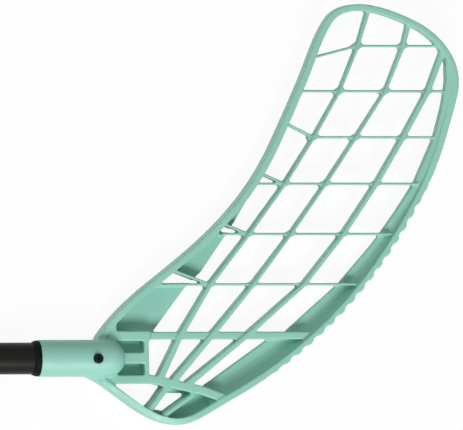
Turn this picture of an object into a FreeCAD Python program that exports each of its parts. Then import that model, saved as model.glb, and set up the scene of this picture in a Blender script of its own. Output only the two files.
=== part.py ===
import FreeCAD, Part
import math
import os
import Sketcher
from FreeCAD import Vector

# A floorball stick, lying flat with the open side of its blade up.
# X is the shaft's axis, from the flat face of the end cap to the blade.
# +Y is the side of the blade's toe, and +Z is the blade's open side.

doc = FreeCAD.newDocument("floorball_stick")
dims = doc.addObject("Spreadsheet::Sheet", "dims")

# Name, size in millimetres (degrees for the angle, plain numbers for counts and shares), meaning
DRIVING_SIZES = [
    ("fit_clearance", 0.05, "gap between pieces that are pressed or glued together"),
    ("cut_overrun", 5, "how far a cutting tool stands out of what it cuts"),
    ("shaft_length", 960, "butt face to the tip of the tube"),
    ("shaft_grip_diameter", 24.5, "tube under the grip"),
    ("shaft_tip_diameter", 21.0, "tube at the blade"),
    ("shaft_wall", 1.7, "wall of the tube"),
    ("taper_start", 345, "butt face to the start of the taper"),
    ("taper_end", 780, "butt face to the end of the taper"),
    ("cap_flange_thickness", 6, "end cap outside the tube"),
    ("cap_flange_proud", 0.8, "how far the flange stands out past the tube"),
    ("cap_edge_radius", 2, "rounding of the flange"),
    ("cap_stem_length", 26, "end cap inside the tube"),
    ("cap_stem_wall", 2, "wall of the hollow stem"),
    ("cap_rib_height", 0.9, "crush ribs on the stem"),
    ("cap_rib_width", 1.6, "crush ribs on the stem"),
    ("cap_rib_count", 6, "crush ribs round the stem"),
    ("grip_length", 290, "wound tape, along the shaft"),
    ("grip_thickness", 1.8, "wound tape, off the shaft"),
    ("grip_pitch", 24, "one turn of the tape, along the shaft"),
    ("grip_seam_radius", 0.9, "round groove where two turns meet"),
    ("grip_seam_depth", 0.6, "depth of that groove"),
    ("finish_tape_length", 26, "band over the end of the grip"),
    ("finish_tape_overlap", 12, "the part of that band on the grip"),
    ("finish_tape_step", 4, "where the band slopes down to the shaft"),
    ("finish_tape_thickness", 0.3, "the band"),
    ("hosel_depth", 46, "how far the shaft goes into the blade"),
    ("hosel_wall", 1.2, "wall of the socket"),
    ("hosel_end_gap", 0.5, "between the shaft's tip and the socket's floor"),
    ("sleeve_wall", 0.4, "sleeve between shaft and socket"),
    ("collar_length", 6, "the part of the sleeve outside the socket"),
    ("collar_height", 1.35, "collar, off the shaft"),
    ("collar_lead", 2.4, "sloping part of the collar"),
    ("screw_place", 37.9, "socket's mouth to the screw"),
    ("screw_diameter", 3.5, "shank"),
    ("screw_length", 14, "under the head"),
    ("screw_point", 3, "pointed end of the shank"),
    ("screw_head_diameter", 6.6, "pan head"),
    ("screw_head_height", 2.2, "pan head"),
    ("screw_head_rounding", 1.2, "pan head's edge"),
    ("screw_hole_clearance", 0.1, "round the shank"),
    ("screw_seat_depth", 0.6, "flat for the head, below the socket's top"),
    ("plug_length", 42, "plug in the tip of the tube"),
    ("plug_chamfer", 1, "its lead-in"),
    ("blade_span", 281, "socket's mouth to about the toe's end, along the shaft"),
    ("blade_rise", 277, "lowest point of the heel to the toe, across the shaft"),
    ("chord_angle", 50, "the blade's long direction, from the shaft's axis"),
    ("hook_start_share", 0.28, "start of the hook, as a share of the blade's reach along the chord"),
    ("hook_end_share", 0.86, "end of the hook, as a share of the same"),
    ("hook_depth", 20, "how far the hook lifts the toe's back"),
    ("rim_depth_heel", 14, "rim, back to front"),
    ("rim_depth_toe", 9, "rim, back to front"),
    ("rim_width", 4.5, "rim, in plan"),
    ("long_rib_width", 1.9, "ribs from heel to toe, where they are thin"),
    ("long_rib_back_step", 2, "how far those ribs lie inside the rim at the back"),
    ("long_rib_front_step", 1, "how far those ribs lie inside the rim at the front"),
    ("post_width", 3.2, "short ribs behind the socket and at the heel"),
    ("cross_rib_width", 1.6, "ribs along the shaft's direction"),
    ("cross_rib_back_step", 2, "how far those ribs lie inside the rim at the back"),
    ("cross_rib_front_step", 2.4, "how far those ribs lie inside the rim at the front"),
    ("gusset_length", 4.2, "fillets where ribs cross, from the crossing"),
    ("neck_bar_width", 5.8, "brace under the socket"),
    ("last_row_width", 5.0, "cross rib nearest to the shaft"),
    ("neck_top_width", 6.6, "that rib's end above the socket"),
    ("neck_spine_width", 7.2, "middle bar behind the socket"),
    ("web_depth_heel", 3, "plate at the back of the blade"),
    ("web_depth_toe", 2.6, "plate at the back of the blade"),
    ("web_back_step", 0.5, "how far the plate lies inside the rim at the back"),
    ("window_ledge", 0.3, "the plate's edge beside a rib"),
    ("window_corner_radius", 1.2, "corners of the windows"),
    ("cove_width", 11, "hollow between the plate and the rim, in plan, at the heel"),
    ("cove_step", 0.8, "top of the hollow below the rim's top"),
    ("scallop_pitch", 9.6, "hollows along the lower edge"),
    ("scallop_radius", 4.6, "hollows along the lower edge"),
    ("scallop_depth", 1.4, "hollows along the lower edge"),
]

dims.set("A1", "name")
dims.set("B1", "size")
dims.set("C1", "meaning")
for row, (name, number, meaning) in enumerate(DRIVING_SIZES, start=2):
    dims.set(f"A{row}", name)
    dims.set(f"B{row}", str(number))
    dims.set(f"C{row}", meaning)
    dims.setAlias(f"B{row}", name)
doc.recompute()


def size(expression):
    """The number that an expression on the sheet's names gives."""
    return float(dims.evalExpression(expression))


# Sizes that follow from the driving ones, as expressions
MOUTH = "(dims.shaft_length - dims.hosel_depth)"
SCREW_X = f"({MOUTH} + dims.screw_place)"
GRIP_RADIUS = "(dims.shaft_grip_diameter / 2)"
TIP_RADIUS = "(dims.shaft_tip_diameter / 2)"
GRIP_START = "(dims.cap_flange_thickness + dims.fit_clearance)"
GRIP_END = f"({GRIP_START} + dims.grip_length)"
GRIP_INSIDE = f"({GRIP_RADIUS} + dims.fit_clearance)"
GRIP_OUTSIDE = f"({GRIP_INSIDE} + dims.grip_thickness)"
FINISH_INSIDE = f"({GRIP_OUTSIDE} + dims.fit_clearance)"
LYING_HEIGHT = f"({FINISH_INSIDE} + dims.finish_tape_thickness)"
SLEEVE_INSIDE = f"({TIP_RADIUS} + dims.fit_clearance)"
SLEEVE_OUTSIDE = f"({SLEEVE_INSIDE} + dims.sleeve_wall)"
BORE_RADIUS = f"({SLEEVE_OUTSIDE} + dims.fit_clearance)"
HOSEL_RADIUS = f"({BORE_RADIUS} + dims.hosel_wall)"
SCREW_SEAT = f"({HOSEL_RADIUS} - dims.screw_seat_depth)"
SCREW_HOLE = "(dims.screw_diameter + 2 * dims.screw_hole_clearance)"
PLUG_RADIUS = f"({TIP_RADIUS} - dims.shaft_wall - dims.fit_clearance)"
TOE_FRONT = "(dims.hook_depth + dims.rim_depth_toe)"
CHORD_REACH = ("(dims.blade_span * cos(dims.chord_angle * 1 deg)"
               " + dims.blade_rise * sin(dims.chord_angle * 1 deg))")
HOOK_START = f"(dims.hook_start_share * {CHORD_REACH})"
HOOK_END = f"(dims.hook_end_share * {CHORD_REACH})"


# Sketches and bodies

def new_body(label):
    body = doc.addObject("PartDesign::Body", label)
    body.Label = label
    return body


def new_sketch(body, name, plane_role):
    sketch = body.newObject("Sketcher::SketchObject", name)
    plane = next(item for item in body.Origin.OriginFeatures if item.Role == plane_role)
    sketch.AttachmentSupport = (plane, "")
    sketch.MapMode = "FlatFace"
    return sketch


def fix_point(sketch, edge, end, across, up):
    """Ties one end of a sketch edge to two expressions, or to an axis where one is zero."""
    for kind, axis, expression in (("DistanceX", -2, across), ("DistanceY", -1, up)):
        number = size(expression)
        if number == 0:
            sketch.addConstraint(Sketcher.Constraint("PointOnObject", edge, end, axis))
            continue
        index = sketch.addConstraint(Sketcher.Constraint(kind, -1, 1, edge, end, number))
        sketch.setExpression(f"Constraints[{index}]", expression)


def polygon_sketch(body, name, plane_role, corners):
    """A closed outline whose corners are pairs of expressions."""
    sketch = new_sketch(body, name, plane_role)
    points = [Vector(size(across), size(up), 0) for across, up in corners]
    for edge, point in enumerate(points):
        sketch.addGeometry(Part.LineSegment(point, points[(edge + 1) % len(points)]))
    for edge, (across, up) in enumerate(corners):
        following = (edge + 1) % len(corners)
        sketch.addConstraint(Sketcher.Constraint("Coincident", edge, 2, following, 1))
        fix_point(sketch, edge, 1, across, up)
    return sketch


def turn(body, sketch, axis):
    feature = body.newObject("PartDesign::Revolution", f"{body.Label}_turned")
    feature.Profile = sketch
    feature.ReferenceAxis = (sketch, [axis])
    feature.Angle = 360
    doc.recompute()
    return feature


def shaft_turned_body(label, corners):
    """A body turned about the shaft's axis. Each corner is a place along it and a radius."""
    body = new_body(label)
    turn(body, polygon_sketch(body, f"{label}_profile", "XY_Plane", corners), "H_Axis")
    return body


def round_edges(body, edges, radius):
    base = body.Tip
    rounding = body.newObject("PartDesign::Fillet", f"{body.Label}_rounding")
    rounding.Base = (base, edges)
    rounding.setExpression("Radius", radius)
    doc.recompute()


def drill_for_screw(body):
    """The screw's hole, through the wall on the blade's open side only."""
    sketch = new_sketch(body, f"{body.Label}_hole_place", "XY_Plane")
    centre = Vector(size(SCREW_X), 0, 0)
    sketch.addGeometry(Part.Circle(centre, Vector(0, 0, 1), size(SCREW_HOLE) / 2))
    fix_point(sketch, 0, 3, SCREW_X, "0")
    index = sketch.addConstraint(Sketcher.Constraint("Diameter", 0, size(SCREW_HOLE)))
    sketch.setExpression(f"Constraints[{index}]", SCREW_HOLE)
    before = body.Shape.Volume
    pocket = body.newObject("PartDesign::Pocket", f"{body.Label}_screw_hole")
    pocket.Profile = sketch
    pocket.Type = "ThroughAll"
    pocket.Reversed = True
    doc.recompute()
    if body.Shape.Volume >= before:
        raise ValueError(f"the screw hole misses {body.Label}")


# Shaft and what is on it

def make_shaft():
    start = "dims.cap_flange_thickness"
    body = shaft_turned_body("shaft", [
        (start, GRIP_RADIUS),
        ("dims.taper_start", GRIP_RADIUS),
        ("dims.taper_end", TIP_RADIUS),
        ("dims.shaft_length", TIP_RADIUS),
        ("dims.shaft_length", f"{TIP_RADIUS} - dims.shaft_wall"),
        ("dims.taper_end", f"{TIP_RADIUS} - dims.shaft_wall"),
        ("dims.taper_start", f"{GRIP_RADIUS} - dims.shaft_wall"),
        (start, f"{GRIP_RADIUS} - dims.shaft_wall"),
    ])
    drill_for_screw(body)
    return body


def make_end_cap():
    flange = f"({GRIP_RADIUS} + dims.cap_flange_proud)"
    bore = f"({GRIP_RADIUS} - dims.shaft_wall - dims.fit_clearance)"
    stem = f"({bore} - dims.cap_rib_height)"
    stem_end = "dims.cap_flange_thickness + dims.cap_stem_length"
    body = shaft_turned_body("end_cap", [
        ("0", "0"),
        ("0", flange),
        ("dims.cap_flange_thickness", flange),
        ("dims.cap_flange_thickness", stem),
        (stem_end, stem),
        (stem_end, f"{stem} - dims.cap_stem_wall"),
        ("dims.cap_flange_thickness", f"{stem} - dims.cap_stem_wall"),
        ("dims.cap_flange_thickness", "0"),
    ])
    edges = [
        f"Edge{number}"
        for number, edge in enumerate(body.Shape.Edges, start=1)
        if edge.isClosed() and edge.CenterOfMass.x < size("dims.cap_flange_thickness / 2")
    ]
    round_edges(body, edges, "dims.cap_edge_radius")
    rib_sketch = polygon_sketch(body, "end_cap_rib_outline", "XY_Plane", [
        ("dims.cap_flange_thickness", f"{stem} - dims.cap_stem_wall / 2"),
        ("dims.cap_flange_thickness", bore),
        (f"{stem_end} - dims.cap_rib_height", bore),
        (stem_end, stem),
        (stem_end, f"{stem} - dims.cap_stem_wall / 2"),
    ])
    rib = body.newObject("PartDesign::Pad", "end_cap_rib")
    rib.Profile = rib_sketch
    rib.Midplane = True
    rib.setExpression("Length", "dims.cap_rib_width")
    doc.recompute()
    ribs = body.newObject("PartDesign::PolarPattern", "end_cap_ribs")
    ribs.Originals = [rib]
    ribs.Axis = (rib_sketch, ["H_Axis"])
    ribs.Angle = 360
    ribs.setExpression("Occurrences", "dims.cap_rib_count")
    body.Tip = ribs
    doc.recompute()
    return body


def make_neck_sleeve():
    collar_start = f"({MOUTH} - dims.collar_length)"
    collar_radius = f"({TIP_RADIUS} + dims.collar_height)"
    body = shaft_turned_body("neck_sleeve", [
        (collar_start, SLEEVE_INSIDE),
        (collar_start, SLEEVE_OUTSIDE),
        (f"{collar_start} + dims.collar_lead", collar_radius),
        (MOUTH, collar_radius),
        (MOUTH, SLEEVE_OUTSIDE),
        ("dims.shaft_length", SLEEVE_OUTSIDE),
        ("dims.shaft_length", SLEEVE_INSIDE),
    ])
    drill_for_screw(body)
    return body


def make_shaft_tip_plug():
    start = "(dims.shaft_length - dims.plug_length)"
    small = f"{PLUG_RADIUS} - dims.plug_chamfer"
    body = shaft_turned_body("shaft_tip_plug", [
        (start, "0"),
        (start, small),
        (f"{start} + dims.plug_chamfer", PLUG_RADIUS),
        ("dims.shaft_length", PLUG_RADIUS),
        ("dims.shaft_length", "0"),
    ])
    drill_for_screw(body)
    return body


def make_finishing_tape():
    start = f"({GRIP_END} - dims.finish_tape_overlap)"
    end = f"({start} + dims.finish_tape_length)"
    slope_end = f"({GRIP_END} + dims.finish_tape_step)"
    inside = f"({GRIP_RADIUS} + dims.fit_clearance)"
    return shaft_turned_body("grip_finishing_tape", [
        (start, FINISH_INSIDE),
        (start, LYING_HEIGHT),
        (f"{GRIP_END} + dims.finish_tape_thickness", LYING_HEIGHT),
        (f"{slope_end} + dims.finish_tape_thickness", f"{inside} + dims.finish_tape_thickness"),
        (end, f"{inside} + dims.finish_tape_thickness"),
        (end, inside),
        (slope_end, inside),
        (f"{GRIP_END} + dims.fit_clearance", FINISH_INSIDE),
    ])


def arc_pair(first, leave, last, arrive):
    """Two arcs that join smoothly, from one place and heading to the next."""
    chord = last - first
    square = chord.dot(chord)
    lengthwise = chord.dot(leave + arrive)
    spread = 2 * (1 - leave.dot(arrive))
    reach = square / (lengthwise + math.sqrt(lengthwise ** 2 + spread * square))
    before, after = first + leave * reach, last - arrive * reach
    joint = (before + after) * 0.5
    arcs = []
    for begin, corner, end in ((first, before, joint), (joint, after, last)):
        half_angle = (corner - begin).getAngle(end - corner) / 2
        middle = (begin + end) * 0.5
        sagitta = (begin - middle).Length * math.tan(half_angle / 2)
        crown = middle + (corner - middle).normalize() * sagitta
        arcs.append(Part.Arc(begin, crown, end).toShape())
    return arcs


def seam_path():
    """The line where two turns of the tape meet: a helix of half turns, each of two arcs."""
    radius = size(f"{GRIP_OUTSIDE} + dims.grip_seam_radius - dims.grip_seam_depth")
    pitch = size("dims.grip_pitch")
    start = size(f"{GRIP_START} - dims.cut_overrun")
    half_turns = math.ceil(size("2 * (dims.grip_length + 2 * dims.cut_overrun) / dims.grip_pitch"))
    lead = pitch / (2 * math.pi * radius)

    def place(half):
        angle = math.pi * half
        return Vector(start + pitch * half / 2, radius * math.cos(angle), radius * math.sin(angle))

    def heading(half):
        angle = math.pi * half
        return Vector(lead, -math.sin(angle), math.cos(angle)).normalize()

    edges = []
    for half in range(half_turns):
        edges += arc_pair(place(half), heading(half), place(half + 1), heading(half + 1))
    return Part.Wire(edges), heading(0)


def make_grip_tape():
    sleeve = shaft_turned_body("grip_tape_sleeve", [
        (GRIP_START, GRIP_INSIDE),
        (GRIP_START, GRIP_OUTSIDE),
        (GRIP_END, GRIP_OUTSIDE),
        (GRIP_END, GRIP_INSIDE),
    ])
    path, heading = seam_path()
    start = path.Edges[0].valueAt(path.Edges[0].FirstParameter)
    section = Part.Wire([Part.Circle(start, heading, size("dims.grip_seam_radius")).toShape()])
    seam = doc.addObject("Part::Feature", "grip_tape_seam")
    seam.Shape = path.makePipeShell([section], True, False)
    grip = doc.addObject("Part::Cut", "grip_tape")
    grip.Label = "grip_tape"
    grip.Base = sleeve
    grip.Tool = seam
    doc.recompute()
    return grip


# Blade screw

def make_blade_screw():
    body = new_body("blade_screw")
    head = "dims.screw_head_diameter / 2"
    shank = "dims.screw_diameter / 2"
    top = "dims.screw_length + dims.screw_head_height"
    sketch = polygon_sketch(body, "blade_screw_profile", "XZ_Plane", [
        ("0", "0"),
        (shank, "dims.screw_point"),
        (shank, "dims.screw_length"),
        (head, "dims.screw_length"),
        (head, top),
        ("0", top),
    ])
    turn(body, sketch, "V_Axis")
    edges = [
        f"Edge{number}"
        for number, edge in enumerate(body.Shape.Edges, start=1)
        if edge.isClosed() and edge.CenterOfMass.z > size(f"{top} - dims.screw_head_height / 2")
    ]
    round_edges(body, edges, "dims.screw_head_rounding")
    body.setExpression("Placement.Base.x", SCREW_X)
    body.setExpression("Placement.Base.z", f"{SCREW_SEAT} - dims.screw_length")
    doc.recompute()
    return body


# Blade, in plan. Every pair is a share of blade_span from the socket's mouth and a share of
# blade_rise from the shaft's axis.

# From the upper side of the neck along the upper edge, round the toe and the heel, to its lower side
OUTLINE_SHARES = [
    (0.145, 0.050), (0.208, 0.124), (0.334, 0.229), (0.447, 0.333), (0.532, 0.447), (0.595, 0.580),
    (0.641, 0.694), (0.679, 0.791), (0.704, 0.825), (0.753, 0.843), (0.840, 0.829), (0.970, 0.750),
    (1.007, 0.672), (0.995, 0.582), (0.958, 0.455), (0.899, 0.331), (0.804, 0.185), (0.531, -0.063),
    (0.429, -0.123), (0.345, -0.159), (0.282, -0.147), (0.208, -0.101), (0.119, -0.044),
]
# Points of that list where the scallops and the hollow behind the rim begin and end
SCALLOPED_STRETCH_SHARES = ((0.958, 0.455), (0.531, -0.063))
COVE_STRETCH_SHARES = ((0.958, 0.455), (0.429, -0.123))

# Heights of the seven cross ribs, from toe to heel
ROW_SHARES = (0.744, 0.636, 0.526, 0.415, 0.295, 0.175, 0.053)
# Where each long rib crosses those rows, between its ends at the rim and at the brace
FIRST_RIB_SHARES = (0.766, 0.725, 0.665, 0.597, 0.511, 0.418, 0.345)
SECOND_RIB_SHARES = (0.874, 0.834, 0.766, 0.695, 0.612, 0.522, 0.421)
THIRD_RIB_SHARES = (0.973, 0.936, 0.879, 0.817, 0.739, 0.645, 0.506)
RIB_TOE_SHARES = ((0.790, 0.832), (0.887, 0.802), (0.947, 0.761))
RIB_HEEL_SHARES = ((0.297, -0.047), (0.331, -0.052), (0.364, -0.062))
# Widths of each long rib from its toe end through the rows to its heel end, over long_rib_width
RIB_WIDTH_SHARES = (
    (1.5, 1.1, 0.9, 0.9, 1.0, 1.1, 1.4, 1.9, 2.4),
    (1.8, 1.4, 0.9, 0.9, 0.9, 0.9, 1.3, 1.8, 2.3),
    (2.2, 2.0, 1.8, 1.6, 1.5, 1.4, 1.4, 1.7, 2.3),
)
# Edge of the plate beside the upper rim, from the toe to the post behind the socket
UPPER_SIDE_SHARES = (
    (0.753, 0.835), (0.708, 0.823), (0.686, 0.805), (0.658, 0.722), (0.626, 0.636), (0.593, 0.562),
    (0.556, 0.443), (0.535, 0.415), (0.479, 0.319), (0.463, 0.295), (0.402, 0.205), (0.369, 0.175),
    (0.278, 0.053), (0.264, 0.053),
)
# Edge of the plate along the brace and the lower rim, from the post back to the toe
LOWER_SIDE_SHARES = (
    (0.264, -0.047), (0.278, -0.051), (0.351, -0.067), (0.394, -0.076), (0.576, 0.053), (0.595, 0.053),
    (0.732, 0.175), (0.834, 0.295), (0.909, 0.415), (0.954, 0.526), (0.979, 0.636), (0.976, 0.702),
)
# Left ends of the rows, and of the struts that branch off them
ROW_LEFT_SHARES = ((0.658, 0.715), (0.626, 0.636), (0.593, 0.562), (0.527, 0.415), (0.446, 0.295),
                   (0.295, 0.174), (0.264, 0.053))
ROW_RIGHT_SHARES = (0.964, 0.994, 0.970, 0.932, 0.868, 0.788, 0.672)
STRUT_SHARES = {3: (0.541, 0.439), 4: (0.457, 0.317), 5: (0.331, 0.208)}
# Heel: the brace, two short ribs below it and the windows between them
BRACE_SHARES = ((0.157, -0.051), (0.278, -0.051), (0.351, -0.067), (0.400, -0.078), (0.452, -0.097))
HEEL_RIB_SHARES = (((0.316, -0.064), (0.273, -0.122)), ((0.378, -0.086), (0.306, -0.137)))
HEEL_RIB_WIDTH_SHARES = (1.15, 0.95)
HEEL_WINDOW_SHARES = (
    ((0.170, -0.061), (0.305, -0.061), (0.277, -0.101), (0.260, -0.119)),
    ((0.308, -0.084), (0.366, -0.084), (0.308, -0.126), (0.282, -0.121)),
)
# Neck: bars behind the socket
NECK_BLOCK_SHARES = ((0.120, -0.044), (0.193, -0.052), (0.190, 0.085), (0.145, 0.050))
NECK_TOP_SHARES = ((0.145, 0.053), (0.271, 0.053))
NECK_SPINE_SHARES = ((0.180, 0.000), (0.266, 0.000))
NECK_POST_SHARES = ((0.262, 0.053), (0.264, -0.050))
# Width of the hollow behind the rim, from toe to heel, as shares of cove_width
COVE_WIDTH_SHARES = (0.12, 0.20, 0.35, 0.70, 1.00, 0.80)
# A round corner takes at most this share of the shorter side beside it
ROUND_LIMIT_SHARE = 0.4
# How far the pole of the hollow's curve stands off the corner of plate and rim
COVE_CURVE_SHARE = 0.14


def plan(pair):
    across, up = pair
    return Vector(size(MOUTH) + across * size("dims.blade_span"), up * size("dims.blade_rise"), 0)


def row_node(across_share, row):
    return plan((across_share, ROW_SHARES[row]))


def left_normal(first, last):
    along = (last - first).normalize()
    return Vector(-along.y, along.x, 0)


def meeting(first, along_first, second, along_second):
    """Where two lines in plan meet."""
    cross = along_first.x * along_second.y - along_first.y * along_second.x
    gap = second - first
    return first + along_first * ((gap.x * along_second.y - gap.y * along_second.x) / cross)


def inset(corners, margins):
    """A polygon whose sides are moved inwards, side by side. Side i starts at corner i."""
    count = len(corners)
    turning = sum(a.x * b.y - a.y * b.x for a, b in zip(corners, corners[1:] + corners[:1]))
    inwards = math.copysign(1, turning)
    moved = []
    for index in range(count):
        here, following = corners[index], corners[(index + 1) % count]
        shift = left_normal(here, following) * (inwards * margins[index])
        moved.append((here + shift, following - here))
    return [meeting(*moved[index - 1], *moved[index]) for index in range(count)]


def rounded_face(corners, radius):
    """A face with straight sides and round corners, each no larger than its sides allow."""
    edges = []
    starts, ends, crowns = [], [], []
    for index, corner in enumerate(corners):
        back = corners[index - 1] - corner
        forth = corners[(index + 1) % len(corners)] - corner
        half_angle = back.getAngle(forth) / 2
        cut = min(radius / math.tan(half_angle), min(back.Length, forth.Length) * ROUND_LIMIT_SHARE)
        bend = cut * math.tan(half_angle)
        starts.append(corner + back.normalize() * cut)
        ends.append(corner + forth.normalize() * cut)
        middle = (back + forth).normalize()
        crowns.append(corner + middle * (bend / math.sin(half_angle) - bend))
    for index in range(len(corners)):
        edges.append(Part.Arc(starts[index], crowns[index], ends[index]).toShape())
        edges.append(Part.LineSegment(ends[index], starts[(index + 1) % len(corners)]).toShape())
    return Part.Face(Part.Wire(edges))


def polygon_face(corners):
    return Part.Face(Part.makePolygon(corners + corners[:1]))


def bar_face(points, widths):
    """A bar along a run of points, mitred at its bends, with a width at each point."""
    sides = ([], [])
    for index, (point, width) in enumerate(zip(points, widths)):
        before = left_normal(points[max(index - 1, 0)], points[max(index, 1)])
        after = left_normal(points[min(index, len(points) - 2)], points[min(index + 1, len(points) - 1)])
        mitre = (before + after).normalize()
        reach = width / 2 / mitre.dot(before)
        sides[0].append(point + mitre * reach)
        sides[1].append(point - mitre * reach)
    return polygon_face(sides[1] + sides[0][::-1])


def even_bar_face(shares, width):
    return bar_face([plan(pair) for pair in shares], [width] * len(shares))


# Blade, in height. Heights are measured from the blade's back plane at the heel.

def bend_height(place, heel_height, toe_height):
    """Height at a place in plan of a surface that is level at the heel and hooks up to the toe."""
    angle = math.radians(size("dims.chord_angle"))
    along = (place.x - size(MOUTH)) * math.cos(angle) + place.y * math.sin(angle)
    past = max(along - size(HOOK_START), 0)
    lift = toe_height - heel_height
    radius = hook_radius(lift)
    return heel_height + radius - math.sqrt(radius ** 2 - past ** 2)


def hook_radius(lift):
    run = size(f"{HOOK_END} - {HOOK_START}")
    return (run ** 2 + lift ** 2) / (2 * lift)


def make_slab(name, low_heel, low_toe, high_heel, high_toe):
    """A hooked slab, all over the blade, between two heights that are given at heel and toe."""
    body = new_body(name)
    sketch = new_sketch(body, f"{name}_side", "XZ_Plane")
    start, end = size(HOOK_START), size(HOOK_END)
    low, low_end = size(low_heel), size(low_toe)
    high, high_end = size(high_heel), size(high_toe)

    def side_line(x_first, y_first, x_last, y_last):
        sketch.addGeometry(Part.LineSegment(Vector(x_first, y_first, 0), Vector(x_last, y_last, 0)))

    def side_arc(height, height_end):
        radius = hook_radius(height_end - height)
        circle = Part.Circle(Vector(start, height + radius, 0), Vector(0, 0, 1), radius)
        quarter = math.pi / 2
        sketch.addGeometry(Part.ArcOfCircle(circle, -quarter, math.asin((end - start) / radius) - quarter))

    side_line(0, low, start, low)
    side_arc(low, low_end)
    side_line(end, low_end, end, high_end)
    side_arc(high, high_end)
    side_line(start, high, 0, high)
    side_line(0, high, 0, low)
    for first, second in (((1, 2), (2, 1)), ((2, 2), (3, 2)), ((4, 2), (5, 1)), ((5, 2), (0, 1))):
        sketch.addConstraint(Sketcher.Constraint("Coincident", *first, *second))
    sketch.addConstraint(Sketcher.Constraint("Tangent", 0, 2, 1, 1))
    sketch.addConstraint(Sketcher.Constraint("Tangent", 4, 1, 3, 1))
    for kind, edge in (("Horizontal", 0), ("Horizontal", 4), ("Vertical", 2), ("Vertical", 5)):
        sketch.addConstraint(Sketcher.Constraint(kind, edge))
    fix_point(sketch, 0, 1, "0", low_heel)
    fix_point(sketch, 1, 2, HOOK_END, low_toe)
    for kind, edge, end_of_edge, expression in (
        ("DistanceX", 0, 2, HOOK_START),
        ("DistanceX", 4, 1, HOOK_START),
        ("DistanceY", 2, 2, high_toe),
        ("DistanceY", 4, 2, high_heel),
    ):
        index = sketch.addConstraint(
            Sketcher.Constraint(kind, -1, 1, edge, end_of_edge, size(expression)))
        sketch.setExpression(f"Constraints[{index}]", expression)
    pad = body.newObject("PartDesign::Pad", f"{name}_across")
    pad.Profile = sketch
    pad.Midplane = True
    pad.setExpression("Length", "2 * dims.blade_span")
    body.setExpression("Placement.Base.x", MOUTH)
    body.setExpression("Placement.Base.z", f"-{LYING_HEIGHT}")
    body.setExpression("Placement.Rotation.Angle", "dims.chord_angle * 1 deg")
    doc.recompute()
    return body


def merged_faces(faces, within):
    """Overlapping faces in plan as one, cut off at the edge of another."""
    joined = Part.Shell(faces[0].multiFuse(faces[1:]).Faces).removeSplitter()
    return joined.common(within)


def hooked_piece(name, outline_shape, slab):
    """What a slab holds of the upright walls on faces in plan."""
    outline = part_feature(f"{name}_plan", Part.makeCompound(outline_shape.Faces))
    walls = doc.addObject("Part::Extrusion", f"{name}_walls")
    walls.Base = outline
    walls.DirMode = "Custom"
    walls.Dir = Vector(0, 0, 1)
    walls.Solid = True
    walls.setExpression("LengthFwd", f"{TOE_FRONT} + dims.cut_overrun")
    walls.setExpression("LengthRev", f"{LYING_HEIGHT} + dims.cut_overrun")
    piece = doc.addObject("Part::Common", name)
    piece.Base = walls
    piece.Tool = slab
    doc.recompute()
    return piece


def long_ribs():
    """The nodes of the three long ribs, each from the toe's rim through the rows to the brace."""
    ribs = []
    for shares, toe, heel in zip((FIRST_RIB_SHARES, SECOND_RIB_SHARES, THIRD_RIB_SHARES),
                                 RIB_TOE_SHARES, RIB_HEEL_SHARES):
        rows = [row_node(share, row) for row, share in enumerate(shares)]
        ribs.append([plan(toe)] + rows + [plan(heel)])
    return ribs


def window_faces(ribs):
    """The openings of the plate: the lattice, which the ribs divide, and the small ones beside it."""
    half_cross = size("dims.cross_rib_width / 2 + dims.window_ledge")
    radius = size("dims.window_corner_radius")
    sides = [plan(pair) for pair in UPPER_SIDE_SHARES + LOWER_SIDE_SHARES]
    toe = [rib[0] for rib in reversed(ribs)]
    faces = [rounded_face(sides + toe, radius)]
    for row, strut in STRUT_SHARES.items():
        corners = [plan(ROW_LEFT_SHARES[row]), ribs[0][row + 1], plan(strut)]
        faces.append(rounded_face(inset(corners, [half_cross, half_cross, 0]), radius))
    for shares in HEEL_WINDOW_SHARES:
        faces.append(rounded_face([plan(pair) for pair in shares], radius))
    return faces


def row_faces(ribs):
    """Cross ribs, each bent at the first long rib where its left end is a strut, and their fillets."""
    width = size("dims.cross_rib_width")
    reach = size("dims.gusset_length")
    faces = []
    for row, (left, right) in enumerate(zip(ROW_LEFT_SHARES, ROW_RIGHT_SHARES)):
        thickness = width if row < len(ROW_SHARES) - 1 else size("dims.last_row_width")
        bend = ribs[0][row + 1]
        points = [plan(left), bend, row_node(right, row)]
        faces.append(bar_face(points, [thickness] * len(points)))
        if row in STRUT_SHARES:
            faces.append(bar_face([plan(STRUT_SHARES[row]), bend], [width, width]))
        along_row = (points[-1] - bend).normalize() * reach
        for rib in ribs:
            node = rib[row + 1]
            along_rib = (rib[row] - rib[row + 2]).normalize() * reach
            sides = (along_row, along_rib, -along_row, -along_rib)
            faces.append(polygon_face([node + side for side in sides]))
    return faces


def outline_guide():
    """A smooth curve through the outline's points, which gives its headings."""
    guide = Part.BSplineCurve()
    guide.interpolate([plan(pair) for pair in OUTLINE_SHARES])
    return guide


def outline_face(guide):
    """The blade in plan: a chain of arcs along the guide, closed across the neck."""
    stops = guide.getKnots()
    edges = []
    for first, last in zip(stops, stops[1:]):
        edges += arc_pair(guide.value(first), guide.tangent(first)[0],
                          guide.value(last), guide.tangent(last)[0])
    neck_bottom, neck_top = guide.value(stops[-1]), guide.value(stops[0])
    edges.append(Part.LineSegment(neck_bottom, neck_top).toShape())
    return Part.Face(Part.Wire(edges))


def inward_normal(guide, parameter):
    along = guide.tangent(parameter)[0]
    return Vector(along.y, -along.x, 0)


def stretch_places(guide, stretch, count):
    """Places and inward normals, evenly spread along a stretch of the outline."""
    first, last = (guide.parameter(plan(pair)) for pair in stretch)
    begin = guide.length(guide.FirstParameter, first)
    length = guide.length(first, last)
    places = []
    for step in range(count):
        parameter = guide.parameterAtDistance(begin + length * step / (count - 1), guide.FirstParameter)
        places.append((guide.value(parameter), inward_normal(guide, parameter)))
    return places


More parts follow.
